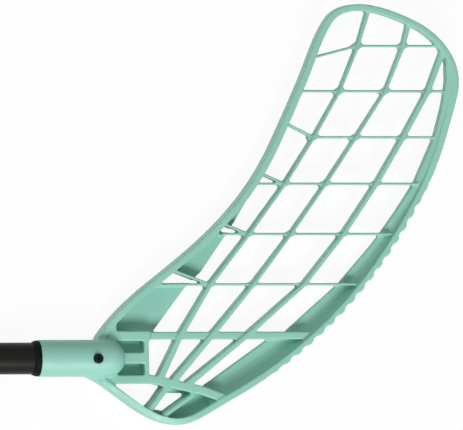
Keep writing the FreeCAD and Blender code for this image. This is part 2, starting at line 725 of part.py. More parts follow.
def cove_solid(guide):
    """The hollow between the plate and the lower rim: a loft of sections square to the rim."""
    web_heel = size("dims.web_back_step + dims.web_depth_heel")
    web_toe = size("dims.hook_depth + dims.web_back_step + dims.web_depth_toe")
    rim_heel, rim_toe = size("dims.rim_depth_heel"), size(TOE_FRONT)
    back = size(LYING_HEIGHT)
    sunk = size("dims.window_ledge")
    sections = []
    places = stretch_places(guide, COVE_STRETCH_SHARES, len(COVE_WIDTH_SHARES))
    for (place, inward), share in zip(places, COVE_WIDTH_SHARES):
        corner = place + inward * (size("dims.rim_width") - sunk)
        floor = bend_height(place, web_heel, web_toe) - back - sunk
        top = bend_height(place, rim_heel, rim_toe) - back - size("dims.cove_step")
        reach = inward * (share * size("dims.cove_width"))
        foot = Vector(corner.x, corner.y, floor)
        head = Vector(corner.x, corner.y, top)
        toe = foot + reach
        hollow = Part.BezierCurve()
        hollow.setPoles([toe, foot + (reach + (head - foot)) * COVE_CURVE_SHARE, head])
        sections.append(Part.Wire([
            Part.LineSegment(head, foot).toShape(),
            Part.LineSegment(foot, toe).toShape(),
            hollow.toShape(),
        ]))
    return Part.makeLoft(sections[::-1], True, False)


def scallop_tools(guide):
    """Upright cylinders that leave the lower edge scalloped."""
    radius = size("dims.scallop_radius")
    first, last = (guide.parameter(plan(pair)) for pair in SCALLOPED_STRETCH_SHARES)
    count = round(guide.length(first, last) / size("dims.scallop_pitch"))
    base = Vector(0, 0, -size(f"{LYING_HEIGHT} + dims.cut_overrun"))
    height = size(f"{LYING_HEIGHT} + {TOE_FRONT} + 2 * dims.cut_overrun")
    tools = []
    for place, inward in stretch_places(guide, SCALLOPED_STRETCH_SHARES, count):
        centre = place - inward * (radius - size("dims.scallop_depth"))
        tools.append(Part.makeCylinder(radius, height, centre + base))
    return Part.makeCompound(tools)


def part_feature(name, shape):
    feature = doc.addObject("Part::Feature", name)
    feature.Shape = shape
    return feature


def shaft_cylinder(name, radius, length, start):
    """A cylinder along the shaft's axis."""
    cylinder = doc.addObject("Part::Cylinder", name)
    cylinder.Placement = FreeCAD.Placement(Vector(), FreeCAD.Rotation(Vector(0, 1, 0), 90))
    cylinder.setExpression("Radius", radius)
    cylinder.setExpression("Height", length)
    cylinder.setExpression("Placement.Base.x", start)
    return cylinder


def make_hosel():
    """The socket's outside: a tube with a round nose."""
    body = new_body("hosel")
    sketch = new_sketch(body, "hosel_profile", "XY_Plane")
    tube_end = f"({MOUTH} + dims.hosel_depth + dims.hosel_end_gap)"
    start, end, radius = size(MOUTH), size(tube_end), size(HOSEL_RADIUS)
    sketch.addGeometry(Part.LineSegment(Vector(start, 0, 0), Vector(start, radius, 0)))
    sketch.addGeometry(Part.LineSegment(Vector(start, radius, 0), Vector(end, radius, 0)))
    circle = Part.Circle(Vector(end, 0, 0), Vector(0, 0, 1), radius)
    sketch.addGeometry(Part.ArcOfCircle(circle, 0, math.pi / 2))
    sketch.addGeometry(Part.LineSegment(Vector(end + radius, 0, 0), Vector(start, 0, 0)))
    for first, second in (((0, 2), (1, 1)), ((2, 1), (3, 1)), ((3, 2), (0, 1))):
        sketch.addConstraint(Sketcher.Constraint("Coincident", *first, *second))
    sketch.addConstraint(Sketcher.Constraint("Tangent", 1, 2, 2, 2))
    sketch.addConstraint(Sketcher.Constraint("PointOnObject", 2, 1, -1))
    fix_point(sketch, 0, 1, MOUTH, "0")
    fix_point(sketch, 1, 1, MOUTH, HOSEL_RADIUS)
    fix_point(sketch, 1, 2, tube_end, HOSEL_RADIUS)
    turn(body, sketch, "H_Axis")
    return body


def make_hosel_cuts():
    """The socket's bore, the screw's hole and the flat that its head sits on."""
    bore = shaft_cylinder("hosel_bore", BORE_RADIUS,
                          "dims.hosel_depth + dims.hosel_end_gap + dims.cut_overrun",
                          f"{MOUTH} - dims.cut_overrun")
    hole = doc.addObject("Part::Cylinder", "hosel_screw_hole")
    hole.setExpression("Radius", f"{SCREW_HOLE} / 2")
    hole.setExpression("Height", f"{HOSEL_RADIUS} + dims.cut_overrun")
    hole.setExpression("Placement.Base.x", SCREW_X)
    seat = doc.addObject("Part::Cylinder", "hosel_screw_seat")
    seat.setExpression("Radius", "dims.screw_head_diameter / 2 + dims.screw_hole_clearance")
    seat.setExpression("Height", "dims.screw_seat_depth + dims.cut_overrun")
    seat.setExpression("Placement.Base.x", SCREW_X)
    seat.setExpression("Placement.Base.z", SCREW_SEAT)
    return [bore, hole, seat]


def make_blade():
    ribs = long_ribs()
    guide = outline_guide()
    outline = outline_face(guide)
    rim_inside = outline.makeOffset2D(-size("dims.rim_width"))
    rim_middle = outline.makeOffset2D(-size("dims.rim_width / 2"))
    rim_slab = make_slab("rim_slab", "0", "dims.hook_depth", "dims.rim_depth_heel", TOE_FRONT)
    long_slab = make_slab(
        "long_rib_slab",
        "dims.long_rib_back_step", "dims.hook_depth + dims.long_rib_back_step",
        "dims.rim_depth_heel - dims.long_rib_front_step", f"{TOE_FRONT} - dims.long_rib_front_step")
    cross_slab = make_slab(
        "cross_rib_slab",
        "dims.cross_rib_back_step", "dims.hook_depth + dims.cross_rib_back_step",
        "dims.rim_depth_heel - dims.cross_rib_front_step", f"{TOE_FRONT} - dims.cross_rib_front_step")
    web_slab = make_slab(
        "web_slab",
        "dims.web_back_step", "dims.hook_depth + dims.web_back_step",
        "dims.web_back_step + dims.web_depth_heel",
        "dims.hook_depth + dims.web_back_step + dims.web_depth_toe")

    rib_width, post_width = size("dims.long_rib_width"), size("dims.post_width")
    long_faces = []
    for rib, shares in zip(ribs, RIB_WIDTH_SHARES):
        long_faces.append(bar_face(rib, [share * rib_width for share in shares]))
    for shares, width_share in zip(HEEL_RIB_SHARES, HEEL_RIB_WIDTH_SHARES):
        long_faces.append(even_bar_face(shares, width_share * post_width))
    for shares, width in (
        (NECK_POST_SHARES, post_width),
        (BRACE_SHARES, size("dims.neck_bar_width")),
        (NECK_TOP_SHARES, size("dims.neck_top_width")),
        (NECK_SPINE_SHARES, size("dims.neck_spine_width")),
    ):
        long_faces.append(even_bar_face(shares, width))
    long_faces.append(polygon_face([plan(pair) for pair in NECK_BLOCK_SHARES]))

    solids = [
        hooked_piece("rim", outline.cut(rim_inside), rim_slab),
        hooked_piece("long_ribs", merged_faces(long_faces, rim_middle), long_slab),
        hooked_piece("cross_ribs", merged_faces(row_faces(ribs), rim_middle), cross_slab),
        hooked_piece("web", rim_middle.cut(window_faces(ribs)), web_slab),
        part_feature("cove", cove_solid(guide)),
        make_hosel(),
    ]
    whole = solids[0]
    for piece in solids[1:]:
        joined = doc.addObject("Part::Fuse", f"blade_with_{piece.Name}")
        joined.Base = whole
        joined.Tool = piece
        joined.Refine = False
        whole = joined
    doc.recompute()
    cuts = doc.addObject("Part::Compound", "blade_cuts")
    cuts.Links = make_hosel_cuts() + [part_feature("scallops", scallop_tools(guide))]
    blade = doc.addObject("Part::Cut", "blade")
    blade.Label = "blade"
    blade.Base = whole
    blade.Tool = cuts
    blade.Refine = False
    doc.recompute()
    return blade


sub_parts = [
    make_shaft(),
    make_end_cap(),
    make_grip_tape(),
    make_finishing_tape(),
    make_neck_sleeve(),
    make_shaft_tip_plug(),
    make_blade(),
    make_blade_screw(),
]

for item in doc.Objects:
    if "Invalid" in item.State or "Error" in item.State:
        raise ValueError(f"{item.Label} failed: {item.State}")
for part in sub_parts:
    if part.Shape.isNull() or not part.Shape.isValid():
        raise ValueError(f"{part.Label} has no valid shape")
    print(part.Label, len(part.Shape.Solids), "solid", round(part.Shape.Volume), "mm3")

os.makedirs("parts", exist_ok=True)
for part in sub_parts:
    part.Shape.exportStep(f"parts/{part.Label}.step")
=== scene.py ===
import math

import bpy
from mathutils import Matrix, Vector


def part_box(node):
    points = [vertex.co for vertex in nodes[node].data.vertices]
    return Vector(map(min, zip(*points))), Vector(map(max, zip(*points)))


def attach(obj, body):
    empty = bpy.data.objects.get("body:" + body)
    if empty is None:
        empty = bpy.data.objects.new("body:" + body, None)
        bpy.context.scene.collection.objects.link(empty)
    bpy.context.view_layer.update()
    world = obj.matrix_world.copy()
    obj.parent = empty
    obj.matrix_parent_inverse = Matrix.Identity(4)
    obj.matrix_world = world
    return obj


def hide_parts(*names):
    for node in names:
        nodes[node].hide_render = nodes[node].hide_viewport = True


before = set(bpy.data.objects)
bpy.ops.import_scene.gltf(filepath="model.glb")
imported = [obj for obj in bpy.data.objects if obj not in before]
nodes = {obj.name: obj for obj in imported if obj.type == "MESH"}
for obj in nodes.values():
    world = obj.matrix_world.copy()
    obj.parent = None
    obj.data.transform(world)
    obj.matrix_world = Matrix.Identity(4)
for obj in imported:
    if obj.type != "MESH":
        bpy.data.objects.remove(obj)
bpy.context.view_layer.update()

# A floorball stick lying on a white floor, with the blade's open side up.
# Metres, in the frame of the CAD part: X along the shaft, Y towards the toe, Z up.
MM = 0.001
FLOOR_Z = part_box("blade")[0].z
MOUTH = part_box("blade")[0].x
TUBE_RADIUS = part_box("shaft")[1].z
SCREW_LOW, SCREW_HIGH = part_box("blade_screw")
SCREW_X = (SCREW_LOW.x + SCREW_HIGH.x) / 2

# Sizes that the frame's boxes don't give
FIT_GAP = 0.05 * MM
TUBE_WALL = 1.7 * MM
TUBE_ROUNDING = 0.15 * MM
TIP_RADIUS = 10.5 * MM
TAPER_START = 345 * MM
TAPER_END = 780 * MM

SLEEVE_WALL = 0.4 * MM
COLLAR_LEAD = 2.2 * MM
COLLAR_SHORTER = 1.8 * MM
COLLAR_ROUNDING = 0.18 * MM

CAP_FLANGE = 6 * MM
CAP_EDGE_RADIUS = 2 * MM
CAP_ROUNDING = 0.3 * MM
CAP_STEM_WALL = 2 * MM
CAP_RIB_COUNT = 6
CAP_RIB_HEIGHT = 0.9 * MM
CAP_RIB_WIDTH = 1.6 * MM
CAP_RIB_ROUNDING = 0.4 * MM
CAP_RIB_SINK = 0.5 * MM

GRIP_PITCH = 24 * MM
# Turns that are wound before the grip's start, and in all beyond its length. They are cut off
GRIP_LEAD_TURNS = 2
GRIP_SPARE_TURNS = GRIP_LEAD_TURNS + 1
SEAM_DEPTH = 0.6 * MM
SEAM_HALF_WIDTH = 0.9 * MM
SEAM_STEPS = 5
TOP_SEAM_OFFSET = 1 * MM

BAND_THICKNESS = 0.3 * MM
BAND_SLOPE = 4 * MM
BAND_ROUNDING = 0.1 * MM

SCREW_RADIUS = 1.75 * MM
SCREW_HOLE_RADIUS = 1.85 * MM
SCREW_POINT = 3 * MM
SCREW_HEAD_HEIGHT = 2.2 * MM
SCREW_HEAD_ROUNDING = 1.2 * MM
RECESS_LENGTH = 3.8 * MM
RECESS_WIDTH = 0.9 * MM
RECESS_DEPTH = 1.3 * MM
RECESS_FLOOR_SHARE = 0.35
# The recess's two slots and the angles they are turned to, in degrees
RECESS_SLOTS = (("first_slot", 25), ("second_slot", 115))

# The blade's hook: level at the heel, then an arc up to the toe, along a line at an angle to the shaft
CHORD_ANGLE = math.radians(50)
HOOK_START = 110.0 * MM
HOOK_RUN = 227.8 * MM
# Heights over the floor, at the heel and at the toe
RIM_TOP = (14 * MM, 29 * MM)
RIM_BACK = (0, 20 * MM)
PLATE = (2 * MM, 21.8 * MM)
# The ledge between the lower rim and the windows is raised at the toe and sinks towards the heel. From
# toe to heel: distance across the shaft, distances along it from the socket's mouth to the window and
# to the rim, and depths under the rim's top at the window, half-way and at the rim, all in millimetres
LEDGE_SECTIONS = (
    (198, 274.0, 278.5, 1.2, 0.8, 0.4),
    (184, 274.8, 279.5, 1.4, 0.9, 0.4),
    (164, 272.3, 277.0, 1.8, 1.2, 0.5),
    (146, 268.0, 272.0, 2.4, 1.5, 0.6),
    (115, 255.2, 260.5, 4.2, 2.7, 1.2),
    (97, 243.8, 251.5, 6.2, 4.8, 2.5),
    (76, 229.0, 239.0, 8.0, 7.2, 3.0),
    (62, 217.4, 229.0, 9.0, 8.4, 4.0),
    (49, 206.2, 220.5, 10.0, 9.6, 6.5),
)
# The lower edge's outermost scallops fade out. Distances across the shaft and along it from the socket's
# mouth to the edge there, in millimetres, at the toe's end and at the heel's
FADED_EDGES = (
    ((132, 271.2), (122, 267.6), (112, 263.0), (103, 258.2)),
    ((-2, 170.2), (-9, 161.4), (-19, 146.8)),
)
FADED_EDGE_WIDTH = 3 * MM
# The rim's top slopes outwards round the heel. Its outer and inner edge, each as distances along the shaft
# from the socket's mouth and across it, and the drop from one to the other, all in millimetres
HEEL_SLOPE_SECTIONS = (
    ((42.0, -17.8), (44.2, -14.2), 1.5),
    ((58.4, -28.0), (60.6, -24.4), 1.5),
    ((70.0, -35.4), (71.9, -31.6), 1.5),
    ((79.2, -40.7), (80.6, -36.8), 1.5),
    ((88.0, -43.4), (88.7, -39.2), 1.4),
    ((96.9, -44.0), (96.7, -39.8), 1.0),
    ((103.6, -42.7), (102.6, -38.6), 0.5),
    ((109.5, -40.3), (107.8, -36.5), 0.1),
)
HEEL_SLOPE_OVERRUN = 1.5 * MM

# How fine the meshes are
MERGE_DISTANCE = 0.001 * MM
ROUND_SEGMENTS = 128
SCREW_SEGMENTS = 64
HOLE_SEGMENTS = 48
GRIP_STEPS = 96
ROUNDING_STEPS = 3
QUARTER_STEPS = 8
BLADE_VOXEL = 0.6 * MM
SLOPE_VOXEL = 0.3 * MM
EASING_FACTOR = 0.5
EASING_ROUNDS = 4
BLADE_KEPT_FACES = 0.36
# Edges sharper than these are rounded, or stay sharp in the shading
ROUNDED_FROM = math.radians(40)
SMOOTH_UP_TO = math.radians(35)
GRIP_SMOOTH_UP_TO = math.radians(40)
BLADE_SMOOTH_UP_TO = math.radians(60)

# What the photograph's frame holds at the shaft's height, and the tilt of its view
PHOTO_PIXELS = 463
PIXEL_MM = 0.66
PHOTO_WIDTH = PHOTO_PIXELS * PIXEL_MM * MM
PHOTO_CENTRE = Vector((1045.0 * MM, 94.3 * MM, 0))
PHOTO_TILT = math.radians(14)
CAMERA_DISTANCE = 8.0
CAMERA_NEAREST = 0.01
# Blender takes a camera's sensor and lens in millimetres
SENSOR_MM = 36.0

# Floor and light. A lamp has a name, a place, a width and a power in watts
FLOOR_SIZE = 8
FLOOR_CENTRE = (0.6, 0, FLOOR_Z)
FLOOR_GLOW_SHARE = 0.93
LAMP_TARGET = Vector((0.9, 0.05, 0))
LAMPS = (
    ("key", (1.1, -1.5, 1.6), 0.9, 44),
    ("fill", (-0.5, 0.9, 1.1), 1.6, 11),
)
WORLD_LIGHT = 0.25
WORLD_SEEN = 1.0
WHITE = (1, 1, 1, 1)

# Most values of a noise pattern lie between these
NOISE_LOW, NOISE_HIGH = 0.3, 0.7
# The grip tape's punched dots: how many there are, and where their floor ends and the skin starts, as
# shares of a cell of nearly 5 mm
DOTS_PER_TURN = 18
DOTS_PER_PITCH = 5
DOT_FLOOR, DOT_RIM = 0.07, 0.14
PEBBLE_SHARE = 0.3


# Modelling helpers

def deselect():
    if bpy.context.object and bpy.context.object.mode != "OBJECT":
        bpy.ops.object.mode_set(mode="OBJECT")
    bpy.ops.object.select_all(action="DESELECT")


def make_active(piece):
    deselect()
    piece.select_set(True)
    bpy.context.view_layer.objects.active = piece


def edit_all(piece):
    """Edit mode, with the whole mesh selected."""
    make_active(piece)
    bpy.ops.object.mode_set(mode="EDIT")
    bpy.ops.mesh.select_all(action="SELECT")


def new_piece(name):
    """The primitive that was just added, named."""
    piece = bpy.context.object
    piece.name = name
    piece.data.name = name
    return piece


def apply_modifier(piece, kind, **settings):
    make_active(piece)
    modifier = piece.modifiers.new(kind.lower(), kind)
    for name, value in settings.items():
        setattr(modifier, name, value)
    bpy.ops.object.modifier_apply(modifier=modifier.name)


def settle(piece):
    """Puts a piece's place into its mesh, closes its seams and turns its faces outwards."""
    make_active(piece)
    bpy.ops.object.transform_apply(location=True, rotation=True, scale=True)
    edit_all(piece)
    bpy.ops.mesh.remove_doubles(threshold=MERGE_DISTANCE)
    bpy.ops.mesh.normals_make_consistent(inside=False)
    bpy.ops.object.mode_set(mode="OBJECT")


def soften(piece, radius):
    """Rounds the sharp edges of a piece."""
    apply_modifier(piece, "BEVEL", width=radius, segments=ROUNDING_STEPS, limit_method="ANGLE",
                   angle_limit=ROUNDED_FROM, use_clamp_overlap=True)


def remesh(piece, voxel):
    """Makes one closed mesh of solids that overlap, and eases its edges."""
    apply_modifier(piece, "REMESH", mode="VOXEL", voxel_size=voxel, adaptivity=0.0)
    apply_modifier(piece, "SMOOTH", factor=EASING_FACTOR, iterations=EASING_ROUNDS)


def combine(piece, other, operation):
    """Adds another closed mesh to a piece, or cuts it away, and deletes it."""
    apply_modifier(piece, "BOOLEAN", operation=operation, solver="EXACT", object=other)
    bpy.data.objects.remove(other)


def join_to(piece, others):
    make_active(piece)
    for other in others:
        other.select_set(True)
    bpy.ops.object.join()


def finish_piece(piece, node, material, smooth_up_to=SMOOTH_UP_TO):
    make_active(piece)
    bpy.ops.object.shade_smooth_by_angle(angle=smooth_up_to)
    piece.data.materials.clear()
    piece.data.materials.append(material)
    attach(piece, "root")
    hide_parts(node)


def draw_points(name, points):
    """A line: one point, extruded from place to place. It is left in edit mode."""
    deselect()
    bpy.ops.mesh.primitive_plane_add(size=1 * MM, location=(0, 0, 0))
    piece = new_piece(name)
    edit_all(piece)
    bpy.ops.mesh.merge(type="CENTER")
    bpy.ops.transform.translate(value=points[0])
    for here, following in zip(points, points[1:]):
        bpy.ops.mesh.extrude_region_move(TRANSFORM_OT_translate={"value": following - here})
    return piece


def in_profile(corners):
    """Corners of a section through the shaft's axis, as places."""
    return [Vector((along, 0, up)) for along, up in corners]


def turned(name, corners, centre=(0, 0, 0), axis=(1, 0, 0), segments=ROUND_SEGMENTS):
    """A profile spun to a round piece, about the shaft's axis or another."""
    piece = draw_points(name, in_profile(corners))
    bpy.ops.mesh.select_all(action="SELECT")
    bpy.ops.mesh.spin(steps=segments, angle=2 * math.pi, center=centre, axis=axis)
    settle(piece)
    return piece


def quarter_round(centre, radius, first_degrees):
    """Corners of a profile along a quarter circle, clockwise from an angle above the shaft's direction."""
    corners = []
    for step in range(QUARTER_STEPS + 1):
        angle = math.radians(first_degrees - 90 * step / QUARTER_STEPS)
        corners.append((centre[0] + radius * math.cos(angle), centre[1] + radius * math.sin(angle)))
    return corners


def drill_for_screw(piece):
    """The screw's hole, through the upper wall."""
    deselect()
    bpy.ops.mesh.primitive_cylinder_add(vertices=HOLE_SEGMENTS, radius=SCREW_HOLE_RADIUS,
                                        depth=2 * TUBE_RADIUS, location=(SCREW_X, 0, TUBE_RADIUS))
    combine(piece, new_piece("screw_drill"), "DIFFERENCE")


def copy_of_node(node, name):
    """A merged copy of a CAD node's mesh."""
    piece = bpy.data.objects.new(name, nodes[node].data.copy())
    bpy.context.collection.objects.link(piece)
    edit_all(piece)
    bpy.ops.mesh.remove_doubles(threshold=MERGE_DISTANCE)
    bpy.ops.object.mode_set(mode="OBJECT")
    return piece


# Material helpers

def linear(hex_colour):
    """An sRGB hex colour as linear RGBA, by the sRGB formula."""
    shares = [int(hex_colour[i:i + 2], 16) / 255 for i in (1, 3, 5)]
    return [s / 12.92 if s <= 0.04045 else ((s + 0.055) / 1.055) ** 2.4 for s in shares] + [1.0]


def per(millimetres):
    """The scale of a pattern whose features have that size."""
    return 1 / (millimetres * MM)


def add_node(tree, kind, settings=None, **inputs):
    """Adds a shader node. An input is a value, or an output socket to link; i0 is the first input."""
    node = tree.nodes.new(kind)
    for name, value in (settings or {}).items():
        setattr(node, name, value)
    for name, value in inputs.items():
        socket = node.inputs[int(name[1:])] if name[1:].isdigit() else node.inputs[name]
        if isinstance(value, bpy.types.NodeSocket):
            tree.links.new(value, socket)
        else:
            socket.default_value = value
    return node


def calculate(tree, operation, first, second):
    """What an operation makes of two values or sockets."""
    return add_node(tree, "ShaderNodeMath", {"operation": operation}, i0=first, i1=second).outputs[0]


def noise(tree, place, scale, detail):
    """A cloudy pattern of values from 0 to 1."""
    return add_node(tree, "ShaderNodeTexNoise", Vector=place, Scale=scale, Detail=detail).outputs["Fac"]


def stretched_noise(tree, place, along, across, detail):
    """Noise whose features have one size along the shaft and another across it, in millimetres."""
    scale = (per(along), per(across), per(across))
    stretched = add_node(tree, "ShaderNodeMapping", Vector=place, Scale=scale)
    return noise(tree, stretched.outputs["Vector"], 1.0, detail)


def mixed(tree, share, first, second):
    """A colour between two, which are colours or sockets."""
    mix = add_node(tree, "ShaderNodeMix", {"data_type": "RGBA"}, Factor=share, i6=first, i7=second)
    return mix.outputs[2]


def new_material(name, settings):
    """A material, its node tree, its shader with those settings, and the place on the object."""
    material = bpy.data.materials.new(name)
    material.use_nodes = True
    tree = material.node_tree
    shader = tree.nodes["Principled BSDF"]
    for setting, value in settings.items():
        shader.inputs[setting].default_value = value
    place = add_node(tree, "ShaderNodeTexCoord").outputs["Object"]
    return material, tree, shader, place


def tint(tree, shader, share, first, second):
    """Gives a shader a colour between two."""
    tree.links.new(mixed(tree, share, first, second), shader.inputs["Base Color"])


def roughen(tree, shader, pattern, low, high):
    """Gives a shader a roughness that follows a noise pattern from low to high."""
    spread = add_node(tree, "ShaderNodeMapRange", i0=pattern, i1=NOISE_LOW, i2=NOISE_HIGH, i3=low, i4=high)
    tree.links.new(spread.outputs["Result"], shader.inputs["Roughness"])


def emboss(tree, shader, height, strength, depth):
    """Gives a shader a relief."""
    bump = add_node(tree, "ShaderNodeBump", Height=height, Strength=strength, Distance=depth)
    tree.links.new(bump.outputs["Normal"], shader.inputs["Normal"])


# Materials

def moulded_polyethylene():
    """Injection-moulded polyethylene: a soft satin skin with a fine spark-eroded grain, and a colour
    that clouds slightly with the flow."""
    material, tree, shader, place = new_material("moulded_polyethylene_mint", {
        "IOR": 1.51,
        "Subsurface Weight": 0.08,
        "Subsurface Radius": (1.2 * MM, 1.8 * MM, 1.6 * MM),
        "Subsurface Scale": 1.0,
    })
    clouds = noise(tree, place, per(36), detail=3.0)
    tint(tree, shader, clouds, linear("#85bdad"), linear("#8fc7b7"))
    scuffs = noise(tree, place, per(16), detail=6.0)
    roughen(tree, shader, scuffs, low=0.42, high=0.56)
    # The real grain is finer than a pixel, so it is drawn at the smallest size that still shows
    grain = noise(tree, place, per(0.7), detail=2.0)
    emboss(tree, shader, grain, strength=0.04, depth=0.1 * MM)
    return material


def lacquered_composite():
    """Fibre composite tube under a satin lacquer: nearly black, with faint lengthwise fibre streaks."""
    material, tree, shader, place = new_material("lacquered_fibre_composite", {
        "IOR": 1.5,
        "Specular IOR Level": 0.1,
        "Coat Weight": 0.06,
        "Coat Roughness": 0.25,
    })
    fibres = stretched_noise(tree, place, along=80, across=1.1, detail=4.0)
    tint(tree, shader, fibres, linear("#0c0b0a"), linear("#171512"))
    roughen(tree, shader, fibres, low=0.34, high=0.46)
    return material


def pebbled_plastic(name, ior, deep, worn, roughness, gloss):
    """Dark moulded nylon or rubber: matt, with a fine pebbled grain and slightly greyer patches."""
    material, tree, shader, place = new_material(name, {
        "IOR": ior,
        "Roughness": roughness,
        "Specular IOR Level": gloss,
    })
    patches = noise(tree, place, per(8), detail=4.0)
    tint(tree, shader, patches, linear(deep), linear(worn))
    grain = noise(tree, place, per(0.6), detail=2.0)
    emboss(tree, shader, grain, strength=0.2, depth=0.2 * MM)
    return material


def blackened_steel():
    """Zinc-plated steel with a black passivation: dark metal, greyer where a driver has rubbed it."""
    material, tree, shader, place = new_material("blackened_steel", {"Metallic": 0.85})
    rubs = noise(tree, place, per(1.2), detail=5.0)
    tint(tree, shader, rubs, linear("#06110f"), linear("#13201e"))
    roughen(tree, shader, rubs, low=0.36, high=0.55)
    return material


def perforated_foam_tape():
    """Polyurethane grip tape: soft matt black foam with rows of punched dots that follow the winding."""
    material, tree, shader, place = new_material("perforated_polyurethane_tape", {
        "IOR": 1.48,
        "Roughness": 0.72,
    })
    axes = add_node(tree, "ShaderNodeSeparateXYZ", i0=place).outputs
    angle = calculate(tree, "ARCTAN2", axes["Z"], axes["Y"])
    turn = calculate(tree, "DIVIDE", angle, 2 * math.pi)
    along = calculate(tree, "DIVIDE", axes["X"], GRIP_PITCH)
    wound = calculate(tree, "SUBTRACT", along, turn)
    across = calculate(tree, "MULTIPLY", wound, DOTS_PER_PITCH)
    around = calculate(tree, "MULTIPLY", turn, DOTS_PER_TURN)
    grid = add_node(tree, "ShaderNodeCombineXYZ", i0=across, i1=around)
    dots = add_node(tree, "ShaderNodeTexVoronoi", {"voronoi_dimensions": "2D"}, Vector=grid.outputs[0],
                    Scale=1.0, Randomness=0.0)
    skin = add_node(tree, "ShaderNodeMapRange", {"interpolation_type": "SMOOTHSTEP"},
                    i0=dots.outputs["Distance"], i1=DOT_FLOOR, i2=DOT_RIM, i3=0.0, i4=1.0).outputs["Result"]
    wear = noise(tree, place, per(25), detail=5.0)
    foam = mixed(tree, wear, linear("#1b1b1c"), linear("#2a2a2b"))
    tint(tree, shader, skin, linear("#060606"), foam)
    leather = noise(tree, place, per(0.9), detail=3.0)
    pebbles = calculate(tree, "MULTIPLY", leather, PEBBLE_SHARE)
    height = calculate(tree, "ADD", pebbles, skin)
    emboss(tree, shader, height, strength=0.5, depth=0.4 * MM)
    return material


def stretched_vinyl():
    """Plasticised vinyl tape pulled tight: a smooth dark film with fine creases round the shaft, painted
    darker in their troughs as painted shade.
    """
    material, tree, shader, place = new_material("stretched_vinyl_tape", {
        "IOR": 1.53,
        "Roughness": 0.33,
    })
    creases_and_painted_shade = stretched_noise(tree, place, along=1.5, across=20, detail=4.0)
    # The creases' troughs are painted darker than their ridges: painted shade in the creases
    tint(tree, shader, creases_and_painted_shade, linear("#131314"), linear("#1f1f20"))
    emboss(tree, shader, creases_and_painted_shade, strength=0.25, depth=0.2 * MM)
    return material


def seen_share(tree, share):
    """That share for what the camera, reflections and glass see, and nothing for other light."""
    paths = add_node(tree, "ShaderNodeLightPath").outputs
    seen = calculate(tree, "MAXIMUM", paths["Is Camera Ray"], paths["Is Glossy Ray"])
    seen = calculate(tree, "MAXIMUM", seen, paths["Is Transmission Ray"])
    return calculate(tree, "MULTIPLY", seen, share)


def white_floor():
    """Matt white paper, nearly evenly white to the camera, with a little of the object's shadow."""
    material = bpy.data.materials.new("white_paper_floor")
    material.use_nodes = True
    tree = material.node_tree
    tree.nodes.clear()
    share = seen_share(tree, FLOOR_GLOW_SHARE)
    paper = add_node(tree, "ShaderNodeBsdfDiffuse", Color=linear("#f4f4f4"))
    glow = add_node(tree, "ShaderNodeEmission", Color=WHITE, Strength=1.0)
    surface = add_node(tree, "ShaderNodeMixShader", i0=share, i1=paper.outputs[0], i2=glow.outputs[0])
    add_node(tree, "ShaderNodeOutputMaterial", Surface=surface.outputs[0])
    return material


# Camera and light

def make_camera():
    data = bpy.data.cameras.new("camera")
    camera = bpy.data.objects.new("camera", data)
    bpy.context.collection.objects.link(camera)
    away = Vector((-math.sin(PHOTO_TILT), 0, math.cos(PHOTO_TILT)))
    right = Vector((math.cos(PHOTO_TILT), 0, math.sin(PHOTO_TILT)))
    turn = Matrix((right, Vector((0, 1, 0)), away)).transposed().to_4x4()
    camera.matrix_world = Matrix.Translation(PHOTO_CENTRE + away * CAMERA_DISTANCE) @ turn
    data.sensor_fit = "HORIZONTAL"
    data.sensor_width = SENSOR_MM
    data.lens = SENSOR_MM * CAMERA_DISTANCE / PHOTO_WIDTH
    data.clip_start = CAMERA_NEAREST
    bpy.context.scene.camera = camera


def make_lamp(name, place, width, watts):
    data = bpy.data.lights.new(name, "AREA")
    data.size = width
    data.energy = watts
    lamp = bpy.data.objects.new(name, data)
    bpy.context.collection.objects.link(lamp)
    lamp.location = place
    lamp.rotation_euler = (LAMP_TARGET - Vector(place)).to_track_quat("-Z", "Y").to_euler()
    lamp.visible_camera = False


def make_studio():
    deselect()
    bpy.ops.mesh.primitive_plane_add(size=FLOOR_SIZE, location=FLOOR_CENTRE)
    floor = new_piece("floor")
    floor.data.materials.append(white_floor())
    for lamp in LAMPS:
        make_lamp(*lamp)
    world = bpy.data.worlds.new("studio")
    world.use_nodes = True
    tree = world.node_tree
    strength = add_node(tree, "ShaderNodeMapRange", i0=seen_share(tree, 1.0), i1=0.0, i2=1.0,
                        i3=WORLD_LIGHT, i4=WORLD_SEEN)
    background = tree.nodes["Background"]
    background.inputs["Color"].default_value = WHITE
    tree.links.new(strength.outputs["Result"], background.inputs["Strength"])
    bpy.context.scene.world = world
    bpy.context.scene.view_settings.view_transform = "Standard"


# The blade

def hook_height(across, along, heights):
    """Height of a surface of the blade that has one height at the heel and another at the toe."""
    heel, toe = heights
    reach = along * math.cos(CHORD_ANGLE) + across * math.sin(CHORD_ANGLE)
    past = max(reach - HOOK_START, 0)
    lift = toe - heel
    radius = (HOOK_RUN ** 2 + lift ** 2) / (2 * lift)
    return FLOOR_Z + heel + radius - math.sqrt(radius ** 2 - past ** 2)


def column(across, along, bottom, top):
    """The two ends of an upright line in the blade. It is never upside down."""
    return [Vector((MOUTH + along, across, height)) for height in (bottom, max(top, bottom))]


def ledge_columns(section):
    """Columns of the raised ledge at the window, half-way and at the rim."""
    across, window, rim, *depths = (size * MM for size in section)
    columns = []
    for along, depth in zip((window, (window + rim) / 2, rim), depths):
        plate = hook_height(across, along, PLATE)
        columns.append(column(across, along, plate, hook_height(across, along, RIM_TOP) - depth))
    return columns


def edge_columns(place):
    """Columns of the rim's outer edge where its scallops fade out."""
    across, edge = (size * MM for size in place)
    columns = []
    for along in (edge - FADED_EDGE_WIDTH, edge):
        back = hook_height(across, along, RIM_BACK)
        columns.append(column(across, along, back, hook_height(across, along, RIM_TOP)))
    return columns


